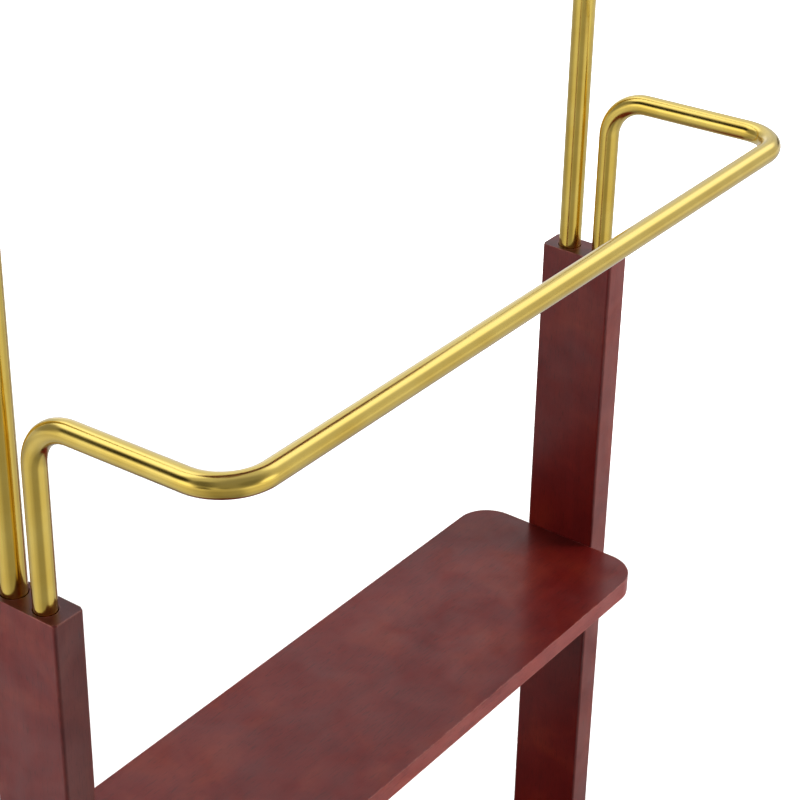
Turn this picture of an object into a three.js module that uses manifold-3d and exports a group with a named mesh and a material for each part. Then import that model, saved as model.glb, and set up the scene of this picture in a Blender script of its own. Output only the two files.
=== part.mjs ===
// Valet stand: two flat wooden posts on runner feet, two shelves between them, and a trouser bar and
// two risers of brass tube standing in the tops of the posts. The risers carry a shallow wooden tray
// with a contoured jacket hanger on its front.
//
// Millimetres. +Z is up, -Y is the front, X runs from post to post. The origin is on the floor, midway
// between the posts.

import * as THREE from 'three';
import { mergeVertices } from 'three/addons/utils/BufferGeometryUtils.js';
import { ParametricGeometry } from 'three/addons/geometries/ParametricGeometry.js';
import Module from 'manifold-3d';

const wasm = await Module();
wasm.setup();

// ---------------------------------------------------------------- driving dimensions

const SEAT = 0.2; // clearance between two faces that rest on each other
const BORE_PLAY = 0.35; // extra radius of a hole around a screw or a plug
const TUBE_PLAY = 0.2; // extra radius of a socket around the tube that stands in it
const EDGE = 1.5; // rounding along the edges of the boards

const INNER_GAP = 461; // between the inner faces of the posts
const BOARD = 19.5; // thickness of the posts and of the tray's cheeks
const POST_WIDTH = 49.5;
const POST_TOP = 600;
const POST_ARRIS = 2;

const PAD = { radius: 11, height: 4, fromEnd: 22 };
const FOOT = { length: 320, height: 38, endHeight: 20, width: 34, flat: 46, mortise: 14 };
const FOOT_SCREW = { y: 14, length: 52, shank: 2.9, head: 5, headHeight: 3.5 };

const SHELF_CORNER = 22;
const UPPER_SHELF = { front: -63.5, back: 63.5, top: 393.7, thickness: 12.5 };
const LOWER_SHELF = { front: -105, back: 105, top: 95, thickness: 15 };
const SHELF_SCREW = { y: 14, length: 46, shank: 2.1, head: 4, headHeight: 2.4, sunk: 5 };
const PLUG = { radius: 4.2, capRadius: 5.5, capHeight: 1.6, depth: 2 };

const RISER = { radius: 6.85, wall: 1, y: 11, socket: 60 };
const BAR = { radius: 6, wall: 1, y: -11, outboard: 1.5, socket: 50, bend: 25 };
const BAR_HEIGHT = 102.5; // bar centreline over the post tops, at the legs
const BAR_RISE = 3; // how much higher the front of the bar is than the legs' bends
const BAR_FRONT = -126.7;
const CLAMP_SCREW = { below: 24, shank: 2.2, head: 4.4, headHeight: 2.4 };

const CHEEK = { bottom: 1010, top: 1086, depth: 112, socket: 42, topCorner: 12 };
const TRAY = { floorBottom: 1046, floorThickness: 9, railHeight: 25, rail: 12, inset: 2 };
const LINER = { thickness: 1.5, margin: 1 };
const TRAY_SCREW_HEIGHT = 12.5; // over the tray's floor, into the ends of the rails
const HANGER = { halfLength: 220, centreTop: 1104, centreHeight: 50, endHeight: 27, endDrop: 54 };
const HANGER_PLAN = { centreDepth: 21, endDepth: 40, endForward: 24 };
const HANGER_SCREW = { x: 32, length: 22, shank: 2, head: 4, headHeight: 2.2 };

const HALF_GAP = INNER_GAP / 2;
const POST_X = HALF_GAP + BOARD / 2; // middle of a post's thickness
const FOOT_BOTTOM = PAD.height + SEAT;
const FOOT_TOP = FOOT_BOTTOM + FOOT.height;
const POST_BOTTOM = FOOT_TOP - FOOT.mortise + SEAT;
const TRAY_FLOOR = TRAY.floorBottom + TRAY.floorThickness;
const RAIL_OUTSIDE = CHEEK.depth / 2 - TRAY.inset; // |y| of a tray rail's outer face

// ---------------------------------------------------------------- materials

const FINISH = {
  mahogany: { color: 0x5e1d18, roughness: 0.35, metalness: 0 },
  brass: { color: 0xc9a23a, roughness: 0.18, metalness: 1 },
  screw_steel: { color: 0x8c8a84, roughness: 0.4, metalness: 1 },
  felt: { color: 0x2b2320, roughness: 0.95, metalness: 0 },
  rubber: { color: 0x1b1a19, roughness: 0.8, metalness: 0 },
};

const stand = new THREE.Group();

function addPart(name, geometry, finish) {
  const mesh = new THREE.Mesh(geometry, new THREE.MeshStandardMaterial(FINISH[finish]));
  mesh.name = name;
  stand.add(mesh);
  return mesh;
}

// ---------------------------------------------------------------- solids

function toSolid(geometry) {
  const bare = geometry.clone();
  bare.deleteAttribute('normal');
  bare.deleteAttribute('uv');
  const merged = mergeVertices(bare, 1e-4);
  const vertProperties = new Float32Array(merged.attributes.position.array);
  const triVerts = new Uint32Array(trianglesOf(merged).flat());
  return new wasm.Manifold(new wasm.Mesh({ numProp: 3, vertProperties, triVerts }));
}

// The triangles of an indexed geometry, without those that have shrunk to a line at a pole.
function trianglesOf(geometry) {
  const index = geometry.index.array;
  const triangles = [];
  for (let i = 0; i < index.length; i += 3) {
    const [a, b, c] = [index[i], index[i + 1], index[i + 2]];
    if (a !== b && b !== c && c !== a) {
      triangles.push([a, b, c]);
    }
  }
  return triangles;
}

function toGeometry(solid) {
  const mesh = solid.getMesh();
  const geometry = new THREE.BufferGeometry();
  geometry.setAttribute('position', new THREE.BufferAttribute(new Float32Array(mesh.vertProperties), 3));
  geometry.setIndex(new THREE.BufferAttribute(new Uint32Array(mesh.triVerts), 1));
  geometry.computeVertexNormals();
  return geometry;
}

function drilled(geometry, holes) {
  return toGeometry(holes.reduce((solid, hole) => solid.subtract(toSolid(hole)), toSolid(geometry)));
}

// A cylinder from one point to another, used as a drill.
function drill(from, to, radius, segments = 20) {
  const along = to.clone().sub(from);
  const tool = new THREE.CylinderGeometry(radius, radius, along.length(), segments);
  const up = new THREE.Vector3(0, 1, 0);
  tool.applyQuaternion(new THREE.Quaternion().setFromUnitVectors(up, along.clone().normalize()));
  return tool.translate(...from.clone().add(to).multiplyScalar(0.5).toArray());
}

function point(x, y, z) {
  return new THREE.Vector3(x, y, z);
}

// Turns a geometry drawn in (x, y) and grown along z so that x, y, z lie along the three given axes.
function laid(geometry, xAlong, yAlong, zAlong) {
  return geometry.applyMatrix4(new THREE.Matrix4().makeBasis(xAlong, yAlong, zAlong));
}

const X = point(1, 0, 0);
const Y = point(0, 1, 0);
const Z = point(0, 0, 1);

function roundedRectangle(left, right, bottom, top, radius) {
  const shape = new THREE.Shape();
  shape.absarc(right - radius, bottom + radius, radius, -Math.PI / 2, 0);
  shape.absarc(right - radius, top - radius, radius, 0, Math.PI / 2);
  shape.absarc(left + radius, top - radius, radius, Math.PI / 2, Math.PI);
  shape.absarc(left + radius, bottom + radius, radius, Math.PI, 1.5 * Math.PI);
  return shape;
}

// A board cut to an outline, with its edges rounded over and its size kept.
function board(outline, thickness, edge = EDGE, curveSegments = 4) {
  return new THREE.ExtrudeGeometry(outline, {
    depth: thickness - 2 * edge,
    curveSegments,
    bevelThickness: edge,
    bevelSize: edge,
    bevelOffset: -edge,
    bevelSegments: 2,
  }).translate(0, 0, edge);
}

function tubeSection(radius, wall) {
  const section = new THREE.Shape().absarc(0, 0, radius, 0, 2 * Math.PI);
  section.holes.push(new THREE.Path().absarc(0, 0, radius - wall, 0, 2 * Math.PI, true));
  return section;
}

// A screw along +Y: its head sits on the plane y = 0 and its shank runs down from there.
function screw({ length, shank, head, headHeight }) {
  const profile = [
    [0, -length],
    [shank, -length + 2 * shank],
    [shank, 0],
    [head, 0],
    [head, headHeight * 0.45],
    [head * 0.62, headHeight],
    [0, headHeight],
  ];
  return new THREE.LatheGeometry(profile.map(([x, y]) => new THREE.Vector2(x, y)), 12);
}

// Names and signs of the two sides.
const SIDES = [
  { side: 'left', sign: -1 },
  { side: 'right', sign: 1 },
];
const ENDS = [
  { end: 'front', sign: -1 },
  { end: 'back', sign: 1 },
];

// ---------------------------------------------------------------- feet and pads

// Side view of a runner foot: level under the post, then falling in a curve to its rounded ends.
function footOutline() {
  const half = FOOT.length / 2;
  const nose = FOOT.endHeight / 2;
  const shape = new THREE.Shape();
  shape.moveTo(-half + nose, 0);
  shape.lineTo(half - nose, 0);
  shape.absarc(half - nose, nose, nose, -Math.PI / 2, Math.PI / 2);
  shape.bezierCurveTo(half - 50, FOOT.endHeight, FOOT.flat + 40, FOOT.height, FOOT.flat, FOOT.height);
  shape.lineTo(-FOOT.flat, FOOT.height);
  shape.bezierCurveTo(-FOOT.flat - 40, FOOT.height, -half + 50, FOOT.endHeight, -half + nose, FOOT.endHeight);
  shape.absarc(-half + nose, nose, nose, Math.PI / 2, 1.5 * Math.PI);
  return shape;
}

function foot(sign) {
  const x = sign * POST_X;
  const blank = laid(board(footOutline(), FOOT.width, 2.5, 6), Y, Z, X);
  blank.translate(x - FOOT.width / 2, 0, FOOT_BOTTOM);
  const clearance = 2 * SEAT;
  const mortise = new THREE.BoxGeometry(BOARD + clearance, POST_WIDTH + clearance, 2 * FOOT.mortise);
  mortise.translate(x, 0, FOOT_TOP);
  const holes = [mortise];
  for (const end of ENDS) {
    const y = end.sign * FOOT_SCREW.y;
    const ledge = FOOT_BOTTOM + FOOT_SCREW.headHeight + 1.5;
    holes.push(drill(point(x, y, 0), point(x, y, FOOT_TOP), FOOT_SCREW.shank + BORE_PLAY));
    holes.push(drill(point(x, y, 0), point(x, y, ledge), FOOT_SCREW.head + 0.6));
  }
  return drilled(blank, holes);
}

function footScrew(x, y) {
  const head = FOOT_BOTTOM + FOOT_SCREW.headHeight + 1.5 - SEAT;
  return screw(FOOT_SCREW).rotateX(-Math.PI / 2).translate(x, y, head);
}

function pad(x, y) {
  const { radius, height } = PAD;
  const profile = [[0, 0], [radius - 1, 0], [radius, 1], [radius, height], [0, height]];
  const disc = new THREE.LatheGeometry(profile.map(([r, z]) => new THREE.Vector2(r, z)), 24);
  return disc.rotateX(Math.PI / 2).translate(x, y, 0);
}

for (const { side, sign } of SIDES) {
  addPart(`${side}_foot`, foot(sign), 'mahogany');
  for (const { end, sign: fore } of ENDS) {
    addPart(`${side}_${end}_pad`, pad(sign * POST_X, fore * (FOOT.length / 2 - PAD.fromEnd)), 'rubber');
    addPart(`${side}_${end}_foot_screw`, footScrew(sign * POST_X, fore * FOOT_SCREW.y), 'screw_steel');
  }
}

// ---------------------------------------------------------------- posts

const SHELVES = [
  { name: 'accessory_shelf', plan: UPPER_SHELF },
  { name: 'shoe_shelf', plan: LOWER_SHELF },
];

function middleOf(shelf) {
  return shelf.top - shelf.thickness / 2;
}

// The hole for a screw that comes through a board at the side and goes into a part between the boards.
function sideScrewHoles(sign, y, z) {
  const inside = sign * (HALF_GAP - 1);
  const outside = sign * (HALF_GAP + BOARD + 1);
  const ledge = sign * (HALF_GAP + BOARD - SHELF_SCREW.sunk);
  return [
    drill(point(inside, y, z), point(outside, y, z), SHELF_SCREW.shank + BORE_PLAY, 12),
    drill(point(ledge, y, z), point(outside, y, z), PLUG.radius + BORE_PLAY, 16),
  ];
}

// The hole for the clamp screw that holds a riser, in from the back edge of a board.
function clampScrewHole(x, z) {
  return drill(point(x, RISER.y, z), point(x, POST_WIDTH / 2 + 1, z), CLAMP_SCREW.shank + BORE_PLAY, 12);
}

// An upright hole that a tube of the given radius stands in.
function tubeSocket(x, y, low, high, tubeRadius) {
  return drill(point(x, y, low), point(x, y, high), tubeRadius + TUBE_PLAY, 32);
}

function post(sign) {
  const x = sign * POST_X;
  const outline = roundedRectangle(-BOARD / 2, BOARD / 2, -POST_WIDTH / 2, POST_WIDTH / 2, POST_ARRIS);
  const blank = board(outline, POST_TOP - POST_BOTTOM, 1, 3).translate(x, 0, POST_BOTTOM);
  const barX = x + sign * BAR.outboard;
  const holes = [
    tubeSocket(x, RISER.y, POST_TOP - RISER.socket, POST_TOP + 1, RISER.radius),
    tubeSocket(barX, BAR.y, POST_TOP - BAR.socket, POST_TOP + 1, BAR.radius),
    clampScrewHole(x, POST_TOP - CLAMP_SCREW.below),
  ];
  for (const { plan } of SHELVES) {
    for (const { sign: fore } of ENDS) {
      holes.push(...sideScrewHoles(sign, fore * SHELF_SCREW.y, middleOf(plan)));
    }
  }
  for (const { sign: fore } of ENDS) {
    const y = fore * FOOT_SCREW.y;
    const depth = POST_BOTTOM + FOOT_SCREW.length;
    holes.push(drill(point(x, y, 0), point(x, y, depth), FOOT_SCREW.shank + BORE_PLAY));
  }
  return drilled(blank, holes);
}

// ---------------------------------------------------------------- shelves

function shelf({ front, back, top, thickness }) {
  const end = HALF_GAP - SEAT;
  const outline = roundedRectangle(-end, end, front, back, SHELF_CORNER);
  const blank = board(outline, thickness, EDGE, 5).translate(0, 0, top - thickness);
  const z = top - thickness / 2;
  const reach = HALF_GAP + BOARD - SHELF_SCREW.sunk - SHELF_SCREW.length - 1;
  const holes = [];
  for (const { sign } of SIDES) {
    for (const { sign: fore } of ENDS) {
      const y = fore * SHELF_SCREW.y;
      const from = point(sign * reach, y, z);
      holes.push(drill(from, point(sign * (end + 1), y, z), SHELF_SCREW.shank + BORE_PLAY, 12));
    }
  }
  return drilled(blank, holes);
}

function sideScrew(sign, y, z) {
  const ledge = HALF_GAP + BOARD - SHELF_SCREW.sunk + SEAT;
  return screw(SHELF_SCREW).rotateZ(-sign * Math.PI / 2).translate(sign * ledge, y, z);
}

// A mushroom-headed wooden plug that covers the head of a side screw.
function plug(sign, y, z) {
  const profile = [
    [0, -PLUG.depth],
    [PLUG.radius, -PLUG.depth],
    [PLUG.radius, SEAT],
    [PLUG.capRadius, SEAT],
    [PLUG.capRadius * 0.8, PLUG.capHeight * 0.75],
    [0, PLUG.capHeight],
  ];
  const turned = new THREE.LatheGeometry(profile.map(([r, h]) => new THREE.Vector2(r, h)), 16);
  return turned.rotateZ(-sign * Math.PI / 2).translate(sign * (HALF_GAP + BOARD), y, z);
}

for (const { side, sign } of SIDES) {
  addPart(`${side}_post`, post(sign), 'mahogany');
}
for (const { name, plan } of SHELVES) {
  addPart(name, shelf(plan), 'mahogany');
  for (const { side, sign } of SIDES) {
    for (const { end, sign: fore } of ENDS) {
      const y = fore * SHELF_SCREW.y;
      addPart(`${name}_${side}_${end}_screw`, sideScrew(sign, y, middleOf(plan)), 'screw_steel');
      addPart(`${name}_${side}_${end}_plug`, plug(sign, y, middleOf(plan)), 'mahogany');
    }
  }
}

// ---------------------------------------------------------------- trouser bar

// A path of straight runs joined by round bends, with one station at each end of a run and a few in
// each bend.
class BentPath extends THREE.Curve {
  constructor(corners, radius, bendSteps) {
    super();
    this.points = [corners[0]];
    this.tangents = [corners[1].clone().sub(corners[0]).normalize()];
    for (let i = 1; i < corners.length - 1; i += 1) {
      this.addBend(corners[i - 1], corners[i], corners[i + 1], radius, bendSteps);
    }
    this.points.push(corners.at(-1));
    this.tangents.push(this.tangents.at(-1));
    this.steps = this.points.length - 1;
  }

  addBend(before, corner, after, radius, bendSteps) {
    const arriving = corner.clone().sub(before).normalize();
    const leaving = after.clone().sub(corner).normalize();
    const turn = arriving.angleTo(leaving);
    const start = corner.clone().addScaledVector(arriving, -radius * Math.tan(turn / 2));
    const axis = arriving.clone().cross(leaving).normalize();
    const inward = axis.clone().cross(arriving);
    const centre = start.clone().addScaledVector(inward, radius);
    for (let k = 0; k <= bendSteps; k += 1) {
      const angle = (turn * k) / bendSteps;
      const arm = start.clone().sub(centre).applyAxisAngle(axis, angle);
      this.points.push(centre.clone().add(arm));
      this.tangents.push(arriving.clone().applyAxisAngle(axis, angle));
    }
  }

  getPoint(t) {
    return this.points[Math.round(t * this.steps)].clone();
  }

  getPointAt(u) {
    return this.getPoint(u);
  }

  getTangentAt(u) {
    return this.tangents[Math.round(u * this.steps)].clone();
  }
}

function trouserBar() {
  const x = POST_X + BAR.outboard;
  const foot = POST_TOP - BAR.socket + SEAT;
  const legTop = POST_TOP + BAR_HEIGHT;
  const route = new BentPath([
    point(-x, BAR.y, foot),
    point(-x, BAR.y, legTop),
    point(-x, BAR_FRONT, legTop + BAR_RISE),
    point(x, BAR_FRONT, legTop + BAR_RISE),
    point(x, BAR.y, legTop),
    point(x, BAR.y, foot),
  ], BAR.bend, 6);
  return new THREE.ExtrudeGeometry(tubeSection(BAR.radius, BAR.wall), {
    curveSegments: 8,
    steps: route.steps,
    extrudePath: route,
  });
}

addPart('trouser_bar', trouserBar(), 'brass');

// ---------------------------------------------------------------- risers

const RISER_BOTTOM = POST_TOP - RISER.socket + SEAT;
const RISER_TOP = CHEEK.bottom + CHEEK.socket - SEAT;

function riser(sign) {
  const tube = new THREE.ExtrudeGeometry(tubeSection(RISER.radius, RISER.wall), {
    curveSegments: 12,
    depth: RISER_TOP - RISER_BOTTOM,
    bevelEnabled: false,
  });
  return tube.translate(sign * POST_X, RISER.y, RISER_BOTTOM);
}

// A button-headed screw whose point presses on the back of a riser.
function clampScrew(x, z) {
  const length = POST_WIDTH / 2 + SEAT - (RISER.y + RISER.radius + SEAT);
  return screw({ ...CLAMP_SCREW, length }).translate(x, POST_WIDTH / 2 + SEAT, z);
}

const CHEEK_CLAMP_HEIGHT = CHEEK.bottom + 14;

for (const { side, sign } of SIDES) {
  addPart(`${side}_riser`, riser(sign), 'brass');
  const low = POST_TOP - CLAMP_SCREW.below;
  addPart(`${side}_riser_lower_screw`, clampScrew(sign * POST_X, low), 'brass');
  addPart(`${side}_riser_upper_screw`, clampScrew(sign * POST_X, CHEEK_CLAMP_HEIGHT), 'brass');
}

// ---------------------------------------------------------------- tray

// Side view of a tray cheek: as wide as a post at its foot, flaring to the depth of the tray.
function cheekOutline() {
  const half = CHEEK.depth / 2;
  const foot = POST_WIDTH / 2;
  const flare = TRAY.floorBottom - 2;
  const corner = CHEEK.topCorner;
  const shape = new THREE.Shape();
  shape.moveTo(-foot, CHEEK.bottom);
  shape.lineTo(foot, CHEEK.bottom);
  shape.lineTo(foot, CHEEK.bottom + 26);
  shape.quadraticCurveTo(foot + 2, flare, half, flare + 4);
  shape.absarc(half - corner, CHEEK.top - corner, corner, 0, Math.PI / 2);
  shape.absarc(-half + corner, CHEEK.top - corner, corner, Math.PI / 2, Math.PI);
  shape.lineTo(-half, flare + 4);
  shape.quadraticCurveTo(-foot - 2, flare, -foot, CHEEK.bottom + 26);
  return shape;
}

const RAIL_MIDDLE = RAIL_OUTSIDE - TRAY.rail / 2;
const TRAY_SCREW_Z = TRAY_FLOOR + TRAY_SCREW_HEIGHT;

function cheek(sign) {
  const x = sign * POST_X;
  const blank = laid(board(cheekOutline(), BOARD), Y, Z, X).translate(x - BOARD / 2, 0, 0);
  const socketTop = CHEEK.bottom + CHEEK.socket;
  const holes = [
    tubeSocket(x, RISER.y, CHEEK.bottom - 1, socketTop, RISER.radius),
    clampScrewHole(x, CHEEK_CLAMP_HEIGHT),
  ];
  for (const { sign: fore } of ENDS) {
    holes.push(...sideScrewHoles(sign, fore * RAIL_MIDDLE, TRAY_SCREW_Z));
  }
  return drilled(blank, holes);
}

function trayFloor() {
  const end = HALF_GAP - SEAT;
  const outline = roundedRectangle(-end, end, -RAIL_OUTSIDE, RAIL_OUTSIDE, 1.5);
  return board(outline, TRAY.floorThickness, 1, 2).translate(0, 0, TRAY.floorBottom);
}

// A rail stands on the front or back edge of the tray's floor and takes a screw in each end.
function trayRail(fore) {
  const end = HALF_GAP - SEAT;
  const low = TRAY_FLOOR + SEAT;
  const outline = roundedRectangle(-RAIL_OUTSIDE, TRAY.rail - RAIL_OUTSIDE, low, low + TRAY.railHeight, 2);
  const blank = laid(board(outline, 2 * end, 0.5, 3), Y, Z, X).translate(-end, 0, 0);
  if (fore > 0) {
    blank.rotateZ(Math.PI);
  }
  const reach = HALF_GAP + BOARD - SHELF_SCREW.sunk - SHELF_SCREW.length - 1;
  const y = fore * RAIL_MIDDLE;
  const holes = SIDES.map(({ sign }) => drill(
    point(sign * reach, y, TRAY_SCREW_Z),
    point(sign * (end + 1), y, TRAY_SCREW_Z),
    SHELF_SCREW.shank + BORE_PLAY,
    12,
  ));
  if (fore < 0) {
    holes.push(...hangerScrewHoles());
  }
  return drilled(blank, holes);
}

function liner() {
  const end = HALF_GAP - LINER.margin;
  const depth = RAIL_OUTSIDE - TRAY.rail - LINER.margin;
  const cloth = new THREE.BoxGeometry(2 * end, 2 * depth, LINER.thickness);
  return cloth.translate(0, 0, TRAY_FLOOR + SEAT + LINER.thickness / 2);
}

// ---------------------------------------------------------------- hanger

const HANGER_BACK = -RAIL_OUTSIDE - SEAT; // where the hanger's back meets the tray's front rail
const HANGER_SCREW_Z = TRAY_FLOOR + 13;
const HANGER_SCREW_HEAD = -RAIL_OUTSIDE + TRAY.rail + SEAT;

function hangerScrewHoles() {
  const deep = HANGER_SCREW_HEAD - HANGER_SCREW.length - 1;
  return SIDES.map(({ sign }) => drill(
    point(sign * HANGER_SCREW.x, deep, HANGER_SCREW_Z),
    point(sign * HANGER_SCREW.x, HANGER_SCREW_HEAD, HANGER_SCREW_Z),
    HANGER_SCREW.shank + BORE_PLAY,
    12,
  ));
}

// The section of the hanger at a fraction s of the way out from its middle, which is s = 0, to a tip.
function hangerSection(s) {
  const away = Math.abs(s);
  const slope = 0.35 * away + 0.65 * away ** 2;
  const height = THREE.MathUtils.lerp(HANGER.centreHeight, HANGER.endHeight, away ** 0.8);
  const depth = THREE.MathUtils.lerp(HANGER_PLAN.centreDepth, HANGER_PLAN.endDepth, away ** 1.6);
  const forward = HANGER_PLAN.endForward * away ** 2;
  return {
    y: HANGER_BACK - forward - depth / 2,
    z: HANGER.centreTop - HANGER.endDrop * slope - height / 2,
    halfDepth: depth / 2,
    halfHeight: height / 2,
    squareness: THREE.MathUtils.lerp(6, 2.2, Math.min(1, 2.4 * away)),
    tip: Math.sqrt(Math.max(0, 1 - Math.max(0, (away - 0.93) / 0.07) ** 2)),
  };
}

// u runs along the hanger and v around its section, which is a rounded rectangle in the middle and an
// oval at the tips.
function hangerSurface(u, v, target) {
  const s = 2 * u - 1;
  const { y, z, halfDepth, halfHeight, squareness, tip } = hangerSection(s);
  const angle = -2 * Math.PI * (v % 1);
  const bend = (value) => Math.sign(value) * Math.abs(value) ** (2 / squareness);
  const across = halfDepth * tip * bend(Math.cos(angle));
  const upward = halfHeight * tip * bend(Math.sin(angle));
  target.set(s * HANGER.halfLength, y + across, z + upward);
}

function hanger() {
  return drilled(new ParametricGeometry(hangerSurface, 44, 16), hangerScrewHoles());
}

function hangerScrew(sign) {
  return screw(HANGER_SCREW).translate(sign * HANGER_SCREW.x, HANGER_SCREW_HEAD, HANGER_SCREW_Z);
}

for (const { side, sign } of SIDES) {
  addPart(`tray_${side}_cheek`, cheek(sign), 'mahogany');
  for (const { end, sign: fore } of ENDS) {
    const y = fore * RAIL_MIDDLE;
    addPart(`tray_${side}_${end}_screw`, sideScrew(sign, y, TRAY_SCREW_Z), 'screw_steel');
    addPart(`tray_${side}_${end}_plug`, plug(sign, y, TRAY_SCREW_Z), 'mahogany');
  }
  addPart(`hanger_${side}_screw`, hangerScrew(sign), 'brass');
}
for (const { end, sign } of ENDS) {
  addPart(`tray_${end}_rail`, trayRail(sign), 'mahogany');
}
addPart('tray_floor', trayFloor(), 'mahogany');
addPart('tray_liner', liner(), 'felt');
addPart('jacket_hanger', hanger(), 'mahogany');

export default stand;
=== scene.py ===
"""Valet stand of stained mahogany and polished brass tube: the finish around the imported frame.

Metres, in the frame's own axes: +Z up, -Y the front, X from post to post, the origin on the floor.
"""

import math

import bmesh
import bpy
from mathutils import Matrix, Vector


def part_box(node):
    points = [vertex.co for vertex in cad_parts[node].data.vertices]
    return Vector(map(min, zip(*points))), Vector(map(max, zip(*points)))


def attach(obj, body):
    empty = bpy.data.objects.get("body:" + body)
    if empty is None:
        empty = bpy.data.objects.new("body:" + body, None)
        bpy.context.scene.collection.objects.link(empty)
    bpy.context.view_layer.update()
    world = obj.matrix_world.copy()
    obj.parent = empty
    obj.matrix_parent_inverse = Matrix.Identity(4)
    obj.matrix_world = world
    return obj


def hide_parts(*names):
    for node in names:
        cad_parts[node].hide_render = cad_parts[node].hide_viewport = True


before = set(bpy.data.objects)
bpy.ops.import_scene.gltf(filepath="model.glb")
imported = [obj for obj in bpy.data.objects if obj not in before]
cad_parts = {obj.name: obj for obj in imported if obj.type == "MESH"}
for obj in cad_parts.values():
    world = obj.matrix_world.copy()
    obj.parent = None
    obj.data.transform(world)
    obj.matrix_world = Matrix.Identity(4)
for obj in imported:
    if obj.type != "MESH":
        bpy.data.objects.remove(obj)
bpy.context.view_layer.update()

STAND = "stand"
BAR_BODY = "trouser_bar"

# ------------------------------------------------------------------ sizes that no box gives

MM = 0.001
POST_ARRIS = 2.0 * MM  # rounding of a post's four long edges
POST_END_EDGE = 1.0 * MM
BOARD_EDGE = 1.5 * MM
SHELF_CORNER = 22 * MM
TUBE_PLAY = 0.2 * MM
TUBE_WALL = 1.0 * MM
BEND_RADIUS = 25 * MM
BAR_RISE = 3 * MM
RISER_SOCKET = 60 * MM
BAR_SOCKET = 50 * MM
BAR_RADIUS = 6 * MM
CLAMP_HOLE = 2.5 * MM  # radius of the hole for a riser's clamp screw
SIDES = (("left", -1), ("right", 1))
ENDS = ("front", "back")


# ------------------------------------------------------------------ camera, lights and floor

CAMERA_AT = Vector((-0.8148, -0.6293, 1.1851))
CAMERA_AIM = Vector((0.0486, 0.0, 0.5776))
CAMERA_ROLL = math.radians(1.06)
CAMERA_LENS = 98.1
CAMERA_SENSOR = 36


def add_camera():
    camera = bpy.data.objects.new("camera", bpy.data.cameras.new("camera"))
    camera.data.lens = CAMERA_LENS
    camera.data.sensor_width = CAMERA_SENSOR
    aim = (CAMERA_AIM - CAMERA_AT).to_track_quat("-Z", "Y").to_matrix()
    turn = aim @ Matrix.Rotation(CAMERA_ROLL, 3, "Z")
    camera.matrix_world = Matrix.Translation(CAMERA_AT) @ turn.to_4x4()
    bpy.context.scene.collection.objects.link(camera)
    bpy.context.scene.camera = camera


def add_softbox(name, at, aim, size, watts):
    """A soft light on the stand; reflections show the studio's panels instead."""
    light = bpy.data.lights.new(name, "AREA")
    light.shape = "RECTANGLE"
    light.size, light.size_y = size
    light.energy = watts
    box = bpy.data.objects.new(name, light)
    box.location = at
    box.rotation_euler = (Vector(aim) - Vector(at)).to_track_quat("-Z", "Y").to_euler()
    box.visible_glossy = False
    box.visible_camera = False
    bpy.context.scene.collection.objects.link(box)


def new_node(tree, kind, **inputs):
    node = tree.nodes.new("ShaderNode" + kind)
    for key, value in inputs.items():
        node.inputs[key.replace("_", " ")].default_value = value
    return node


def vector_math(tree, operation, *vectors):
    node = new_node(tree, "VectorMath")
    node.operation = operation
    for vector, socket in zip(vectors, node.inputs):
        if isinstance(vector, Vector):
            socket.default_value = vector
        else:
            tree.links.new(vector, socket)
    return node


def mix_grey(tree, fac, first, second):
    """A brightness between two, each of them a number or a socket."""
    node = new_node(tree, "Mix")
    node.data_type = "RGBA"
    tree.links.new(fac, node.inputs[0])
    for value, socket in ((first, node.inputs[6]), (second, node.inputs[7])):
        if isinstance(value, float):
            socket.default_value = (value, value, value, 1)
        else:
            tree.links.new(value, socket)
    return node.outputs[2]


def only_for(tree, ray, others, these):
    """One brightness for one kind of ray, and another for the others."""
    return mix_grey(tree, new_node(tree, "LightPath").outputs[ray], others, these)


def towards(azimuth, elevation=0.0):
    """The direction of an azimuth from +Y towards +X and an elevation, in degrees."""
    turn, rise = math.radians(azimuth), math.radians(elevation)
    level = math.cos(rise)
    return Vector((math.sin(turn) * level, math.cos(turn) * level, math.sin(rise)))


def paint_panels(tree, direction, base, panels):
    """Soft-edged round panels laid one over the other on an even base.

    A panel has a direction, the angles from it that its edge fades between, and a brightness.
    """
    painted = base
    for centre, inner, outer, brightness in panels:
        facing = vector_math(tree, "DOT_PRODUCT", direction, centre).outputs["Value"]
        inside = new_node(tree, "MapRange", From_Min=math.cos(math.radians(outer)),
                          From_Max=math.cos(math.radians(inner)))
        inside.interpolation_type = "SMOOTHSTEP"
        tree.links.new(facing, inside.inputs["Value"])
        painted = mix_grey(tree, inside.outputs["Result"], painted, brightness)
    return painted


FLOOR_REACH = 12
FLOOR_FADE = (0.6, 1.6)  # the camera sees the floor turn into the backdrop between these
FLOOR_PALE = 0.95
FLOOR_REFLECTED_SHADED = ((0.15, 0.28), (0.45, 0.38), (1.0, 0.49), (1.9, 0.47), (2.9, 0.62))  # by distance; darker near the stand, a painted shadow of the stand in reflections
FLOOR_PANELS = (
    (towards(-130), 12, 36, 0.66),  # painted shade on the floor round the camera
    (towards(-5), 14, 36, 0.74),  # painted shade on the floor behind the stand
    (towards(-66), 6, 24, 1.25),  # lit from the left
    (towards(176), 12, 38, 1.32),  # lit from the front
)


def grey_by_distance(tree, distance, stops):
    """A brightness that eases through its values at the given distances in metres."""
    reach = stops[-1][0]
    scaled = new_node(tree, "MapRange", From_Max=reach)
    tree.links.new(distance, scaled.inputs["Value"])
    node = new_node(tree, "ValToRGB")
    ramp = node.color_ramp
    ramp.interpolation = "EASE"
    while len(ramp.elements) < len(stops):
        ramp.elements.new(0.5)
    for element, (metres, grey) in zip(ramp.elements, stops):
        element.position = metres / reach
        element.color = (grey, grey, grey, 1)
    tree.links.new(scaled.outputs["Result"], node.inputs["Fac"])
    return node.outputs["Color"]


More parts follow.
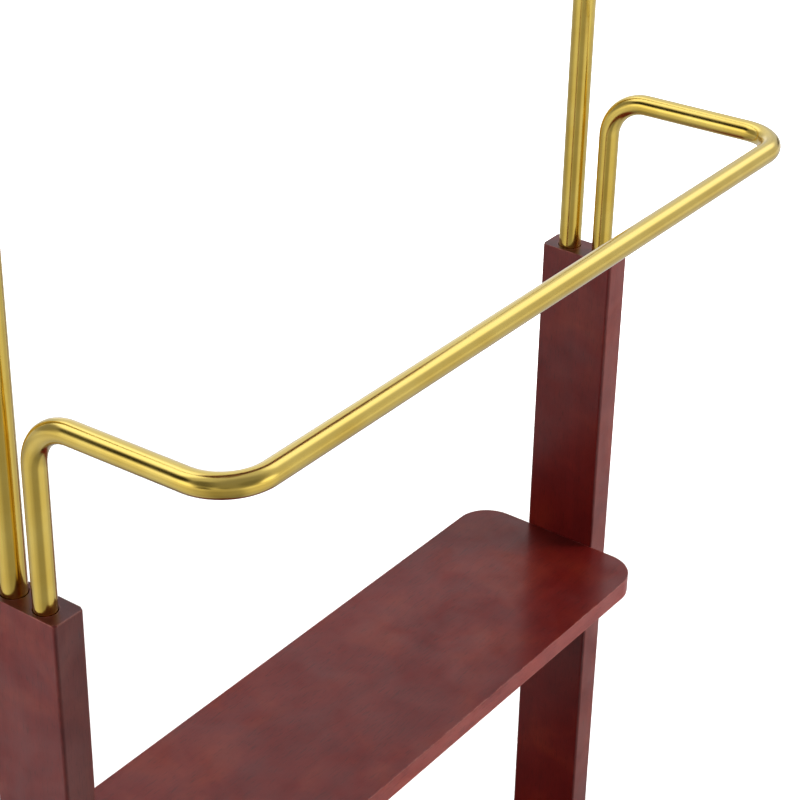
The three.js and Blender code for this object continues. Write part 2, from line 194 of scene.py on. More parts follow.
def add_floor():
    """A matt pale floor; it shows the backdrop's white far out, and reflections see it painted."""
    reach = FLOOR_REACH
    mesh = bpy.data.meshes.new("floor")
    corners = [(-reach, -reach, 0), (reach, -reach, 0), (reach, reach, 0), (-reach, reach, 0)]
    mesh.from_pydata(corners, [], [(0, 1, 2, 3)])
    material = bpy.data.materials.new("pale_floor")
    material.use_nodes = True
    tree = material.node_tree
    shader = tree.nodes["Principled BSDF"]
    place = new_node(tree, "TexCoord").outputs["Object"]
    outward = vector_math(tree, "NORMALIZE", place).outputs["Vector"]
    painted = paint_panels(tree, outward, 1.0, FLOOR_PANELS)
    away = vector_math(tree, "LENGTH", place).outputs["Value"]
    # painted shadow: reflections see the floor darker near the stand
    by_distance = grey_by_distance(tree, away, FLOOR_REFLECTED_SHADED)
    reflected = vector_math(tree, "MULTIPLY", by_distance, painted).outputs["Vector"]
    tree.links.new(only_for(tree, "Is Glossy Ray", FLOOR_PALE, 0.0), shader.inputs["Base Color"])
    far = new_node(tree, "MapRange", From_Min=FLOOR_FADE[0], From_Max=FLOOR_FADE[1])
    far.interpolation_type = "SMOOTHSTEP"
    tree.links.new(away, far.inputs["Value"])
    faded = only_for(tree, "Is Camera Ray", 0.0, far.outputs["Result"])
    glow = only_for(tree, "Is Glossy Ray", faded, reflected)
    tree.links.new(glow, shader.inputs["Emission Color"])
    shader.inputs["Emission Strength"].default_value = 1.0
    shader.inputs["Roughness"].default_value = 0.9
    shader.inputs["Specular IOR Level"].default_value = 0.1
    mesh.materials.append(material)
    floor = bpy.data.objects.new("floor", mesh)
    bpy.context.scene.collection.objects.link(floor)


FILL = 0.10
BACKDROP = 0.95
WALL_REFLECTED = 0.52
WALL_PANELS = (
    (towards(45, 40), 12, 32, 0.70),
    (towards(0, 90), 12, 38, 0.50),  # the ceiling
    (towards(-4, 50), 15, 31, 1.22),  # overhead softbox, behind the stand
    (towards(100, 41), 9, 24, 1.15),  # softbox on the right
    (towards(-24, 14), 10, 26, 0.26),  # gaps at the back, on the left and round the camera
    (towards(-54, 29), 8, 19, 0.02),
    (towards(-98, 34), 14, 28, 0.15),
    (towards(-132, 14), 6, 16, 0.15),
    (towards(-158, 38), 26, 50, 0.27),
    (towards(-170, 24), 8, 22, 0.19),
    (towards(42, 5), 5, 15, 0.80),  # low light walls at the back, on the left and in front
    (towards(-66, 2), 9, 21, 1.25),
    (towards(160, 2), 6, 20, 1.25),
    (towards(90, -2), 5, 15, 0.10),  # dark gaps at eye level, which put dark lines in upright tubes
    (towards(-98, -2), 5, 15, 0.10),
    (towards(4, -2), 5, 14, 0.16),
)


def add_world():
    """An even white fill, and for reflections a studio of softboxes with dim gaps between them."""
    world = bpy.data.worlds.new("studio")
    world.use_nodes = True
    tree = world.node_tree
    direction = new_node(tree, "TexCoord").outputs["Generated"]
    studio = paint_panels(tree, direction, WALL_REFLECTED, WALL_PANELS)
    reflected = only_for(tree, "Is Glossy Ray", FILL, studio)
    seen = only_for(tree, "Is Camera Ray", reflected, BACKDROP)
    tree.links.new(seen, tree.nodes["Background"].inputs["Color"])
    bpy.context.scene.world = world


def add_studio():
    add_world()
    add_floor()
    aim = CAMERA_AIM
    add_softbox("key", (1.0, -0.9, 1.35), aim, (0.6, 0.6), 17)
    add_softbox("left_back", (-1.5, 1.2, 1.3), aim, (1.0, 1.0), 21)
    add_softbox("left_low", (-1.9, 0.2, 1.0), aim, (0.8, 0.8), 14)
    add_softbox("right", (1.8, 0.0, 1.2), aim, (1.0, 1.0), 7)
    add_softbox("front_low", (0.9, -0.8, 0.5), aim, (0.5, 0.5), 5)
    add_softbox("background", (1.5, 1.3, 2.2), (1.2, 1.0, 0), (1.6, 1.6), 24)
    bpy.context.scene.view_settings.view_transform = "Standard"
    bpy.context.scene.view_settings.look = "Medium High Contrast"


# ------------------------------------------------------------------ materials

class Shader:
    """A few shorthands for building a node material."""

    def __init__(self, name):
        self.material = bpy.data.materials.new(name)
        self.material.use_nodes = True
        self.tree = self.material.node_tree
        self.principled = self.tree.nodes["Principled BSDF"]

    def node(self, kind, **settings):
        node = self.tree.nodes.new("ShaderNode" + kind)
        for key, value in settings.items():
            if key in node.inputs:
                node.inputs[key].default_value = value
            else:
                setattr(node, key, value)
        return node

    def link(self, source, target):
        self.tree.links.new(source, target)

    def finish(self, **inputs):
        for key, value in inputs.items():
            self.principled.inputs[key.replace("_", " ")].default_value = value

    def noise(self, vector, scale, detail=3.0, roughness=0.5, distortion=0.0):
        node = self.node(
            "TexNoise", Scale=scale, Detail=detail, Roughness=roughness, Distortion=distortion
        )
        self.link(vector, node.inputs["Vector"])
        return node.outputs["Fac"]

    def ramp(self, fac, *stops):
        node = self.node("ValToRGB")
        elements = node.color_ramp.elements
        while len(elements) < len(stops):
            elements.new(0.5)
        for element, (position, colour) in zip(elements, stops):
            element.position = position
            element.color = (*colour, 1)
        self.link(fac, node.inputs["Fac"])
        return node.outputs["Color"]

    def mapped(self, value, low, high, from_low=0.0, from_high=1.0):
        node = self.node("MapRange")
        self.link(value, node.inputs["Value"])
        node.inputs["From Min"].default_value = from_low
        node.inputs["From Max"].default_value = from_high
        node.inputs["To Min"].default_value = low
        node.inputs["To Max"].default_value = high
        return node.outputs["Result"]

    def mix(self, fac, a, b, blend="MIX"):
        node = self.node("Mix", data_type="RGBA", blend_type=blend)
        for value, socket in ((fac, node.inputs[0]), (a, node.inputs[6]), (b, node.inputs[7])):
            if isinstance(value, (int, float)):
                socket.default_value = value
            elif isinstance(value, tuple):
                socket.default_value = (*value, 1)
            else:
                self.link(value, socket)
        return node.outputs[2]

    def bump(self, height, strength, distance, after=None):
        node = self.node("Bump", Strength=strength, Distance=distance)
        self.link(height, node.inputs["Height"])
        if after is not None:
            self.link(after, node.inputs["Normal"])
        return node.outputs["Normal"]

    def facing(self, axis):
        """How squarely the surface faces along an axis of the object, from 0 to 1."""
        split = self.node("SeparateXYZ")
        self.link(self.node("TexCoord").outputs["Normal"], split.inputs[0])
        size = self.node("Math", operation="ABSOLUTE")
        self.link(split.outputs[axis], size.inputs[0])
        return size.outputs[0]

    def edges(self, reach):
        """Rises from 0 towards the edges and corners, within a reach of them."""
        rounded = self.node("Bevel", Radius=reach)
        agree = self.node("VectorMath", operation="DOT_PRODUCT")
        self.link(rounded.outputs["Normal"], agree.inputs[0])
        self.link(self.node("NewGeometry").outputs["Normal"], agree.inputs[1])
        turned_away = self.node("Math", operation="SUBTRACT")
        turned_away.inputs[0].default_value = 1.0
        self.link(agree.outputs["Value"], turned_away.inputs[1])
        return turned_away.outputs[0]

    def placed(self, offset=(0, 0, 0), stretch=(1, 1, 1)):
        """Object coordinates moved to a place of their own in the grain, and stretched along it."""
        where = self.node("TexCoord").outputs["Object"]
        mapping = self.node("Mapping", Location=offset, Scale=stretch)
        self.link(where, mapping.inputs["Vector"])
        return mapping.outputs["Vector"]


GRAIN_ALONG = {"X": (0.035, 1, 1), "Y": (1, 0.035, 1), "Z": (1, 1, 0.035)}
TONE_STEPS = (0.32, 0.50, 0.70)
WOOD_TONES = ((0.098, 0.0060, 0.0056), (0.118, 0.0080, 0.0060), (0.152, 0.0165, 0.0076))
# lighter tones for the narrow faces: painted light, as if the front faces were lit more
NARROW_LIT_TONES = ((0.140, 0.0170, 0.0140), (0.175, 0.0270, 0.0200), (0.210, 0.0400, 0.0270))
WORN_TONE = (0.30, 0.10, 0.08)
END_GRAIN = (0.62, 0.50, 0.75)
WORN_REACH = 1.6 * MM
STREAK_TINT = (0.70, 0.62, 0.62)
LINE_TINT = (0.70, 0.70, 0.70)
BLACK = (0.0, 0.0, 0.0)
PLAIN = (1.0, 1.0, 1.0)


def mahogany(grain, broad, seed, narrow_light=1.0):
    """Mahogany stained red under an uneven semi-gloss lacquer.

    The grain runs along one axis and the broad faces look along another. The narrow faces are
    painted lighter, painted light as if they were lit from the front, scaled per piece. It is dark
    where it soaked into end grain, and worn through along the edges.
    """
    narrow_lit_tones = [tuple(narrow_light * part for part in tone) for tone in NARROW_LIT_TONES]
    s = Shader(f"mahogany_{grain.lower()}_{seed}")
    offset = (0.37 * seed, 0.23 * seed, 0.51 * seed)
    along = s.placed(offset, GRAIN_ALONG[grain])
    even = s.placed(offset)
    cloud = s.noise(even, 24, 4, 0.55, 0.6)
    haze = s.noise(even, 41, 3, 0.55, 0.4)
    streak = s.noise(along, 150, 4, 0.6, 0.15)
    fine = s.noise(along, 900, 2, 0.6)
    pore_stretch = tuple(3 * k if k < 1 else k for k in GRAIN_ALONG[grain])
    pore_place = s.placed(offset, pore_stretch)
    pores = s.ramp(s.noise(pore_place, 1500, 1, 0.5), (0.30, BLACK), (0.42, PLAIN))

    stained = s.ramp(cloud, *zip(TONE_STEPS, WOOD_TONES))
    # painted light: the narrow faces take the lighter tones
    narrow = s.mapped(s.facing(broad), 1.0, 0.0, 0.25, 0.85)
    stained = s.mix(narrow, stained, s.ramp(cloud, *zip(TONE_STEPS, narrow_lit_tones)))
    streaked = s.mix(0.42, stained, s.ramp(streak, (0.35, STREAK_TINT), (0.65, PLAIN)), "MULTIPLY")
    lined = s.mix(0.22, streaked, s.ramp(fine, (0.3, LINE_TINT), (0.7, PLAIN)), "MULTIPLY")
    pored = s.mix(0.30, lined, pores, "MULTIPLY")
    end_grain = s.mapped(s.facing(grain), 0.0, 1.0, 0.3, 0.9)
    ended = s.mix(end_grain, pored, s.mix(1.0, pored, END_GRAIN, "MULTIPLY"))
    worn = s.mapped(s.edges(WORN_REACH), 0.0, 0.8, 0.02, 0.14)
    patchy = s.mapped(s.noise(even, 160, 2), 0.1, 1.0, 0.40, 0.60)
    colour = s.mix(s.mix(1.0, worn, patchy, "MULTIPLY"), ended, WORN_TONE)
    s.link(colour, s.principled.inputs["Base Color"])

    s.link(s.mapped(haze, 0.32, 0.48, 0.3, 0.7), s.principled.inputs["Roughness"])
    s.link(s.mapped(haze, 0.58, 0.30, 0.3, 0.7), s.principled.inputs["Coat Weight"])
    grained = s.bump(pores, 0.08, 0.10 * MM)
    waved = s.bump(s.noise(even, 55, 3), 0.10, 0.6 * MM, grained)
    s.link(waved, s.principled.inputs["Normal"])
    s.finish(Coat_Roughness=0.20, Coat_IOR=1.5, Specular_IOR_Level=0.5)
    return s.material


BRASS_BRIGHT = (0.88, 0.66, 0.150)
BRASS_DEEP = (0.80, 0.56, 0.085)
BRASS_PAINTED_HIGHLIGHT = (0.86, 0.668, 0.190)  # paler where it faces up or down: a painted highlight, for the whiter reflections on its top


def brass(name, unbent, roughness):
    """Lacquered, polished brass with faint draw lines, and a tone and polish that wander a little.

    On a tube the draw lines follow its bends, through an attribute that holds each point's place on
    the straight tube.
    """
    s = Shader(name)
    if unbent:
        where = s.node("Attribute", attribute_name="straight").outputs["Vector"]
    else:
        where = s.placed()
    lines = s.node("Mapping", Scale=(1, 1, 0.04))
    s.link(where, lines.inputs["Vector"])
    drawn = s.noise(lines.outputs["Vector"], 1800, 3, 0.6)
    wander = s.noise(where, 38, 3, 0.5)
    speck = s.noise(where, 620, 3, 0.6)
    tone = s.ramp(wander, (0.35, BRASS_DEEP), (0.65, BRASS_BRIGHT))
    # painted highlight: surfaces facing up or down are mixed towards the paler brass
    painted_highlight = s.mapped(s.facing("Z"), 0.0, 0.8, 0.3, 0.9)
    s.link(s.mix(painted_highlight, tone, BRASS_PAINTED_HIGHLIGHT), s.principled.inputs["Base Color"])
    rough = s.mapped(s.mix(0.5, wander, drawn), roughness * 0.75, roughness * 1.3, 0.3, 0.7)
    s.link(rough, s.principled.inputs["Roughness"])
    scratched = s.bump(drawn, 0.05, 0.03 * MM)
    peeled = s.bump(speck, 0.025, 0.06 * MM, scratched)
    s.link(peeled, s.principled.inputs["Normal"])
    s.finish(Metallic=1.0, Coat_Weight=1.0, Coat_Roughness=0.10, Coat_IOR=1.55)
    return s.material


STEEL_DULL = (0.42, 0.41, 0.40)
STEEL_BRIGHT = (0.60, 0.59, 0.57)


def turned_steel():
    """Zinc-plated screw steel."""
    s = Shader("plated_steel")
    where = s.placed()
    tone = s.ramp(s.noise(where, 400, 3), (0.3, STEEL_DULL), (0.7, STEEL_BRIGHT))
    s.link(tone, s.principled.inputs["Base Color"])
    s.link(s.mapped(s.noise(where, 900, 3), 0.28, 0.5), s.principled.inputs["Roughness"])
    s.link(s.bump(s.noise(where, 1500, 2), 0.1, 0.03 * MM), s.principled.inputs["Normal"])
    s.finish(Metallic=1.0)
    return s.material


FELT_DEEP = (0.022, 0.011, 0.008)
FELT_FIBRE = (0.080, 0.044, 0.030)
FELT_FLATTENED = (0.6, 0.6, 0.6)
FELT_SHEEN = (0.60, 0.38, 0.28, 1)


def felt():
    """Dark brown wool felt: matted fibres that catch the light at the edges."""
    s = Shader("felt")
    where = s.placed()
    fibres = s.noise(where, 2600, 4, 0.7, 0.6)
    patches = s.noise(where, 90, 3)
    tone = s.ramp(fibres, (0.3, FELT_DEEP), (0.7, FELT_FIBRE))
    flattened = s.ramp(patches, (0.3, FELT_FLATTENED), (0.7, PLAIN))
    s.link(s.mix(0.35, tone, flattened, "MULTIPLY"), s.principled.inputs["Base Color"])
    s.link(s.mapped(patches, 0.85, 1.0), s.principled.inputs["Roughness"])
    s.link(s.bump(fibres, 0.6, 0.25 * MM), s.principled.inputs["Normal"])
    s.finish(Sheen_Weight=0.25, Sheen_Roughness=0.6, Sheen_Tint=FELT_SHEEN, Specular_IOR_Level=0.15)
    return s.material


RUBBER_CLEAN = (0.012, 0.012, 0.012)
RUBBER_DUSTY = (0.040, 0.038, 0.036)


def rubber():
    """Black rubber with a fine moulded texture and a little dust."""
    s = Shader("rubber")
    where = s.placed()
    dust = s.noise(where, 120, 4, 0.6)
    tone = s.ramp(dust, (0.35, RUBBER_CLEAN), (0.75, RUBBER_DUSTY))
    s.link(tone, s.principled.inputs["Base Color"])
    s.link(s.mapped(dust, 0.55, 0.8), s.principled.inputs["Roughness"])
    s.link(s.bump(s.noise(where, 2200, 2), 0.25, 0.08 * MM), s.principled.inputs["Normal"])
    return s.material


BRASS_TUBE = brass("brass_tube", True, 0.19)
BRASS_SCREW = brass("brass_screw", False, 0.20)
STEEL = turned_steel()
FELT = felt()
RUBBER = rubber()


# ------------------------------------------------------------------ mesh building

def link_mesh(name, mesh):
    piece = bpy.data.objects.new(name, mesh)
    bpy.context.scene.collection.objects.link(piece)
    return piece


def place(piece, body, slot, material, *nodes):
    """Gives a piece its finish, and lets it ride on a body in place of the CAD nodes."""
    piece.data.materials.clear()
    piece.data.materials.append(material)
    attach(piece, body)
    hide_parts(*nodes)
    return piece


def arc(centre, radius, start, end, steps):
    """Points on an arc in a plane, with its angles in degrees."""
    turns = [math.radians(start + (end - start) * k / steps) for k in range(steps + 1)]
    return [(centre[0] + radius * math.cos(t), centre[1] + radius * math.sin(t)) for t in turns]


def rounded_rectangle(left, right, low, high, radius, steps=10):
    return (
        arc((right - radius, low + radius), radius, -90, 0, steps)
        + arc((right - radius, high - radius), radius, 0, 90, steps)
        + arc((left + radius, high - radius), radius, 90, 180, steps)
        + arc((left + radius, low + radius), radius, 180, 270, steps)
    )


AXES = {
    "Z": lambda a, b, c: (a, b, c),  # outline in x, y and thickness along z
    "X": lambda a, b, c: (c, a, b),  # outline in y, z and thickness along x
}


def slab(name, outline, low, high, along, edge, segments=4):
    """A board cut to an outline between two planes, with the edges of both faces rounded over."""
    lay = AXES[along]
    bm = bmesh.new()
    bottom = [bm.verts.new(lay(a, b, low)) for a, b in outline]
    top = [bm.verts.new(lay(a, b, high)) for a, b in outline]
    faces = [bm.faces.new(bottom[::-1]), bm.faces.new(top)]
    count = len(outline)
    for i in range(count):
        j = (i + 1) % count
        bm.faces.new((bottom[i], bottom[j], top[j], top[i]))
    rims = [e for face in faces for e in face.edges]
    bmesh.ops.bevel(bm, geom=rims, offset=edge, segments=segments, profile=0.5, affect="EDGES",
                    clamp_overlap=True)
    bmesh.ops.recalc_face_normals(bm, faces=bm.faces)
    mesh = bpy.data.meshes.new(name)
    bm.to_mesh(mesh)
    bm.free()
    return link_mesh(name, mesh)


def turned(name, profile, at, axis, segments=48):
    """A turned piece: its profile runs from the axis and back to it, as (radius, height) points."""
    bm = bmesh.new()
    rings = []
    for radius, height in profile:
        if radius == 0:
            rings.append([bm.verts.new((0, 0, height))])
        else:
            turns = [2 * math.pi * k / segments for k in range(segments)]
            points = [(radius * math.cos(t), radius * math.sin(t), height) for t in turns]
            rings.append([bm.verts.new(point) for point in points])
    for lower, upper in zip(rings, rings[1:]):
        for k in range(segments):
            j = (k + 1) % segments
            if len(lower) == 1:
                bm.faces.new((lower[0], upper[j], upper[k]))
            elif len(upper) == 1:
                bm.faces.new((lower[k], lower[j], upper[0]))
            else:
                bm.faces.new((lower[k], lower[j], upper[j], upper[k]))
    bmesh.ops.recalc_face_normals(bm, faces=bm.faces)
    turn = Vector((0, 0, 1)).rotation_difference(Vector(axis)).to_matrix().to_4x4()
    bm.transform(Matrix.Translation(at) @ turn)
    mesh = bpy.data.meshes.new(name)
    bm.to_mesh(mesh)
    bm.free()
    return link_mesh(name, mesh)


def final_mesh(piece):
    """Applies a piece's modifiers to its mesh."""
    evaluated = piece.evaluated_get(bpy.context.evaluated_depsgraph_get())
    done = bpy.data.meshes.new_from_object(evaluated)
    piece.modifiers.clear()
    piece.data = done
    return piece


def cut(piece, *cutters):
    """Takes the cutters' shapes out of a piece, and the cutters out of the scene."""
    for cutter in cutters:
        modifier = piece.modifiers.new("cut", "BOOLEAN")
        modifier.operation = "DIFFERENCE"
        modifier.solver = "MANIFOLD"
        modifier.object = cutter
    final_mesh(piece)
    for cutter in cutters:
        bpy.data.objects.remove(cutter)
    return weld(piece)


def weld(piece, within=0.002 * MM):
    """Merges the nearly coincident points that a cut leaves where a bore and a hole meet."""
    shape = bmesh.new()
    shape.from_mesh(piece.data)
    bmesh.ops.remove_doubles(shape, verts=shape.verts, dist=within)
    bmesh.ops.dissolve_degenerate(shape, dist=within, edges=shape.edges)
    shape.to_mesh(piece.data)
    shape.free()
    return piece


def smooth(piece, angle=35):
    """Smooth shading that keeps flat faces flat and corners sharper than the angle crisp."""
    piece.data.shade_smooth()
    piece.data.set_sharp_from_angle(angle=math.radians(angle))
    weighted = piece.modifiers.new("flat_faces", "WEIGHTED_NORMAL")
    weighted.keep_sharp = True
    weighted.weight = 80
    return final_mesh(piece)


CUT_OVER = 1 * MM  # how far a cutter stands out past the face it cuts


def socket_cutter(at, radius, depth, lip=0.2 * MM):
    """An upright drill for a hole in a top face, with a small countersink at its mouth."""
    mouth = radius + lip + CUT_OVER
    profile = [(0, -depth), (radius, -depth), (radius, -lip), (mouth, CUT_OVER), (0, CUT_OVER)]
    return turned("cutter", profile, at, (0, 0, 1), 64)


def drill(at, axis, radius, depth, segments):
    """A plain round cutter, from a point on a face to a depth against the axis."""
    profile = [(0, -depth), (radius, -depth), (radius, CUT_OVER), (0, CUT_OVER)]
    return turned("cutter", profile, at, axis, segments)


def bore(at, radius, depth, segments=48):
    """An upright cutter for a hole up into a bottom face."""
    profile = [(0, -CUT_OVER), (radius, -CUT_OVER), (radius, depth), (0, depth)]
    return turned("cutter", profile, at, (0, 0, 1), segments)


def middle(node):
    low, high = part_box(node)
    return (low + high) / 2


def tube_radius(node):
    low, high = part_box(node)
    return (high.x - low.x) / 2


# ------------------------------------------------------------------ wood

POST_NARROW_LIGHT = {"left": 0.72, "right": 0.9}  # painted light on the narrow faces; the left post's is less, a painted shade
# the shelves' narrow faces get the most painted light
SHELF_NARROW_LIGHT = 1.5


def make_post(side, sign, seed):
    name = f"{side}_post"
    low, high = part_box(name)
    outline = rounded_rectangle(low.x, high.x, low.y, high.y, POST_ARRIS, 8)
    piece = slab(name + "_finished", outline, low.z, high.z, "Z", POST_END_EDGE)
    riser = middle(f"{side}_riser")
    riser_bore = tube_radius(f"{side}_riser") + TUBE_PLAY
    bar_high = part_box("trouser_bar")[1]
    leg_x, leg_y = sign * (bar_high.x - BAR_RADIUS), bar_high.y - BAR_RADIUS
    clamp = middle(f"{side}_riser_lower_screw")
    cut(
        piece,
        socket_cutter((riser.x, riser.y, high.z), riser_bore, RISER_SOCKET),
        socket_cutter((leg_x, leg_y, high.z), BAR_RADIUS + TUBE_PLAY, BAR_SOCKET),
        drill((clamp.x, high.y, clamp.z), (0, 1, 0), CLAMP_HOLE, high.y - riser.y, 40),
    )
    finish = mahogany("Z", "X", seed, POST_NARROW_LIGHT[side])
    return place(smooth(piece), STAND, "mahogany", finish, name)


def make_shelf(name, seed):
    low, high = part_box(name)
    outline = rounded_rectangle(low.x, high.x, low.y, high.y, SHELF_CORNER, 20)
    piece = slab(name + "_finished", outline, low.z, high.z, "Z", BOARD_EDGE, 5)
    return place(smooth(piece), STAND, "mahogany", mahogany("X", "Z", seed, SHELF_NARROW_LIGHT), name)


def bezier(start, out, inward, end, steps):
    """Points after the start on a cubic curve, up to and with its end."""
    points = []
    for k in range(1, steps + 1):
        t = k / steps
        weights = ((1 - t) ** 3, 3 * t * (1 - t) ** 2, 3 * t * t * (1 - t), t ** 3)
        pulls = list(zip(weights, (start, out, inward, end)))
        points.append(tuple(sum(w * p[i] for w, p in pulls) for i in (0, 1)))
    return points


FOOT_NOSE = 10 * MM
FOOT_FLAT = 46 * MM
FOOT_NOSE_PULL = 50 * MM  # how far the curve leaves the nose and the flat level
FOOT_FLAT_PULL = 40 * MM
FOOT_EDGE = 2.5 * MM
MORTISE_PLAY = 0.2 * MM
FOOT_SCREW_SINK = (5.6 * MM, 5 * MM)  # radius and depth of the holes its screw heads sit in


def foot_outline(low, high):
    """Side view of a runner foot: level under the post, then curving down to its rounded ends."""
    half = high.y
    base = low.z
    tip = base + 2 * FOOT_NOSE
    back = arc((half - FOOT_NOSE, base + FOOT_NOSE), FOOT_NOSE, -90, 90, 14)
    leaving = (half - FOOT_NOSE_PULL, tip)
    arriving = (FOOT_FLAT + FOOT_FLAT_PULL, high.z)
    rise = bezier(back[-1], leaving, arriving, (FOOT_FLAT, high.z), 20)
    right = back + rise
    return right + [(-y, z) for y, z in reversed(right)]


def make_foot(side, seed):
    name = f"{side}_foot"
    low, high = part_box(name)
    piece = slab(name + "_finished", foot_outline(low, high), low.x, high.x, "X", FOOT_EDGE, 6)
    play = Vector((MORTISE_PLAY, MORTISE_PLAY, MORTISE_PLAY))
    post_low, post_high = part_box(f"{side}_post")
    hole_low, hole_high = post_low - play, post_high + play
    hole = rounded_rectangle(hole_low.x, hole_high.x, hole_low.y, hole_high.y, POST_ARRIS, 8)
    cutters = [slab("cutter", hole, hole_low.z, high.z + 2 * CUT_OVER, "Z", 0.1 * MM, 1)]
    for end in ENDS:
        screw = middle(f"{side}_{end}_foot_screw")
        cutters.append(bore((screw.x, screw.y, low.z), *FOOT_SCREW_SINK))
    cut(piece, *cutters)
    return place(smooth(piece), STAND, "mahogany", mahogany("Y", "X", seed), name)


CHEEK_CORNER = 12 * MM
CHEEK_FLARE = (26 * MM, 38 * MM)  # the heights it flares between
CHEEK_PULL = (2 * MM, 34 * MM)  # what pulls the flare's curve, out from the foot and up
CHEEK_SOCKET = 42 * MM


def cheek_outline(low, high, foot):
    """Side view of a tray cheek: as wide as a post at its foot, flaring to the tray's depth."""
    half = high.y
    start = (foot, low.z + CHEEK_FLARE[0])
    pull = (foot + CHEEK_PULL[0], low.z + CHEEK_PULL[1])
    end = (half, low.z + CHEEK_FLARE[1])
    curve = [
        tuple((1 - t) ** 2 * start[i] + 2 * t * (1 - t) * pull[i] + t * t * end[i] for i in (0, 1))
        for t in [k / 16 for k in range(17)]
    ]
    top = arc((half - CHEEK_CORNER, high.z - CHEEK_CORNER), CHEEK_CORNER, 0, 90, 14)
    right = [(foot, low.z)] + curve + top
    return right + [(-y, z) for y, z in reversed(right)]


def make_cheek(side, seed):
    name = f"tray_{side}_cheek"
    low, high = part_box(name)
    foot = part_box(f"{side}_post")[1].y
    piece = slab(name + "_finished", cheek_outline(low, high, foot), low.x, high.x, "X", BOARD_EDGE)
    riser = middle(f"{side}_riser")
    clamp = middle(f"{side}_riser_upper_screw")
    socket = tube_radius(f"{side}_riser") + TUBE_PLAY
    under = bore((riser.x, riser.y, low.z), socket, CHEEK_SOCKET, 64)
    back = drill((clamp.x, foot, clamp.z), (0, 1, 0), CLAMP_HOLE, foot - riser.y, 40)
    cut(piece, under, back)
    return place(smooth(piece), STAND, "mahogany", mahogany("Y", "X", seed), name)


RAIL_ARRIS = 2 * MM
RAIL_END_EDGE = 0.4 * MM
TRAY_FLOOR_CORNER = 1.5 * MM
TRAY_FLOOR_EDGE = 1 * MM


def make_rail(end, seed):
    name = f"tray_{end}_rail"
    low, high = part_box(name)
    outline = rounded_rectangle(low.y, high.y, low.z, high.z, RAIL_ARRIS, 6)
    piece = slab(name + "_finished", outline, low.x, high.x, "X", RAIL_END_EDGE, 2)
    return place(smooth(piece), STAND, "mahogany", mahogany("X", "Y", seed), name)


def make_tray_floor(seed):
    low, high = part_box("tray_floor")
    outline = rounded_rectangle(low.x, high.x, low.y, high.y, TRAY_FLOOR_CORNER, 4)
    piece = slab("tray_floor_finished", outline, low.z, high.z, "Z", TRAY_FLOOR_EDGE, 3)
    return place(smooth(piece), STAND, "mahogany", mahogany("X", "Z", seed), "tray_floor")


HANGER_HEIGHT = (50 * MM, 27 * MM)  # each of these pairs is at the middle and at the tips
HANGER_DEPTH = (21 * MM, 40 * MM)
HANGER_SQUARE = (6, 2.2)  # the section goes from nearly a rectangle to nearly an ellipse
HANGER_FORWARD = 24 * MM
HANGER_DROP = 54 * MM
HANGER_DROP_STRAIGHT = 0.35  # how much of the drop is an even slope; the rest curves down
HANGER_TIP = 0.07  # the last part of each arm, which rounds off
HANGER_STATIONS = 121
HANGER_SEGMENTS = 48


def between(ends, fraction):
    return ends[0] + (ends[1] - ends[0]) * fraction


def hanger_ring(s, high, segments=HANGER_SEGMENTS):
    """One section of the jacket hanger, a fraction s of the way out to a tip."""
    away = abs(s)
    slope = between((away ** 2, away), HANGER_DROP_STRAIGHT)
    height = between(HANGER_HEIGHT, away ** 0.8)
    depth = between(HANGER_DEPTH, away ** 1.6)
    y = high.y - HANGER_FORWARD * away ** 2 - depth / 2
    z = high.z - HANGER_DROP * slope - height / 2
    power = 2 / between(HANGER_SQUARE, min(1, 2.4 * away))
    tip = math.sqrt(max(0.0, 1 - max(0.0, (away - 1 + HANGER_TIP) / HANGER_TIP) ** 2))
    ring = []
    for k in range(segments):
        angle = 2 * math.pi * k / segments
        square = (math.cos(angle), math.sin(angle))
        across, upward = (math.copysign(abs(value) ** power, value) for value in square)
        ring.append((s * high.x, y + depth / 2 * tip * across, z + height / 2 * tip * upward))
    return ring


def make_hanger(seed):
    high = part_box("jacket_hanger")[1]
    bm = bmesh.new()
    middle_station = HANGER_STATIONS // 2
    stations = [math.sin(math.pi / 2 * (k / middle_station - 1)) for k in range(HANGER_STATIONS)]
    rings = [[bm.verts.new(p) for p in hanger_ring(s, high)] for s in stations[1:-1]]
    tips = [bm.verts.new(hanger_ring(s, high, 1)[0]) for s in (-1, 1)]
    for k in range(HANGER_SEGMENTS):
        j = (k + 1) % HANGER_SEGMENTS
        for left, right in zip(rings, rings[1:]):
            bm.faces.new((left[k], right[k], right[j], left[j]))
        bm.faces.new((tips[0], rings[0][k], rings[0][j]))
        bm.faces.new((tips[1], rings[-1][j], rings[-1][k]))
    bmesh.ops.recalc_face_normals(bm, faces=bm.faces)
    mesh = bpy.data.meshes.new("jacket_hanger_finished")
    bm.to_mesh(mesh)
    bm.free()
    piece = link_mesh("jacket_hanger_finished", mesh)
    piece.data.shade_smooth()
    return place(piece, STAND, "mahogany", mahogany("X", "Y", seed), "jacket_hanger")


def dome(radius, height, steps):
    """A turned cap's profile from just above its rim to its crown."""
    turns = [math.pi / 2 * k / steps for k in range(1, steps)]
    return [(radius * math.cos(t), height * math.sin(t)) for t in turns] + [(0, height)]


PLUG_SHANK = 4.2 * MM
PLUG_SUNK = 1.8 * MM
PLUG_RISE = 1.6 * MM
PLUG_GAP = 0.05 * MM  # under its cap
CAP_UNDERCUT = 0.2 * MM  # a cap's underside is this much smaller in radius


